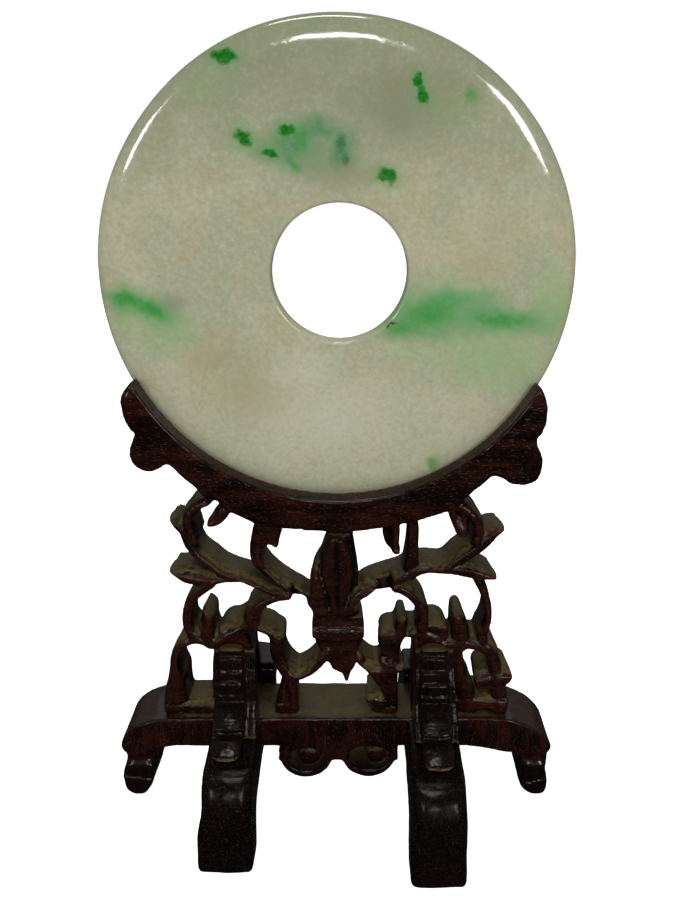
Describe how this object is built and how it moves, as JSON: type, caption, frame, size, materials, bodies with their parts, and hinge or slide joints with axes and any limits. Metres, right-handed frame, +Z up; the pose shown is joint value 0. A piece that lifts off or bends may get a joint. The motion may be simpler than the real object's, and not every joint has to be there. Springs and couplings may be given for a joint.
{
  "type": "jade bi disc on carved wooden stand",
  "caption": "Upright pierced jade disc with a round central hole, resting in the grooved crescent cradle of a carved openwork hardwood display stand with cross feet.",
  "frame": {"origin": "centre of the overall footprint, on the ground under the feet", "axes": "+Z up, +X to the viewer's right along the cross beam, +Y away from the viewer; the disc's face and the stand's front look along -Y"},
  "size_m": [0.134, 0.0962, 0.2265],
  "materials": {
    "jade": "polished pale grey-green jade with beige clouds and a few emerald veins, slightly translucent",
    "carved_wood": "polished dark reddish hardwood with short pale pores, dusty in the recesses",
    "beam_wood": "dark reddish hardwood, satin, dusty on top",
    "runner_wood": "very dark purplish hardwood, polished, worn to a soft sheen",
    "bracket_wood": "dark hardwood, satin, with dust settled along the edges"
  },
  "bodies": {
    "root": {"jade_disc": "jade", "cradle_panel": "carved_wood", "cross_beam": "beam_wood", "left_runner": "runner_wood", "right_runner": "runner_wood", "bracket_front_left": "bracket_wood", "bracket_front_right": "bracket_wood", "bracket_rear_left": "bracket_wood", "bracket_rear_right": "bracket_wood"}
  },
  "joints": []
}
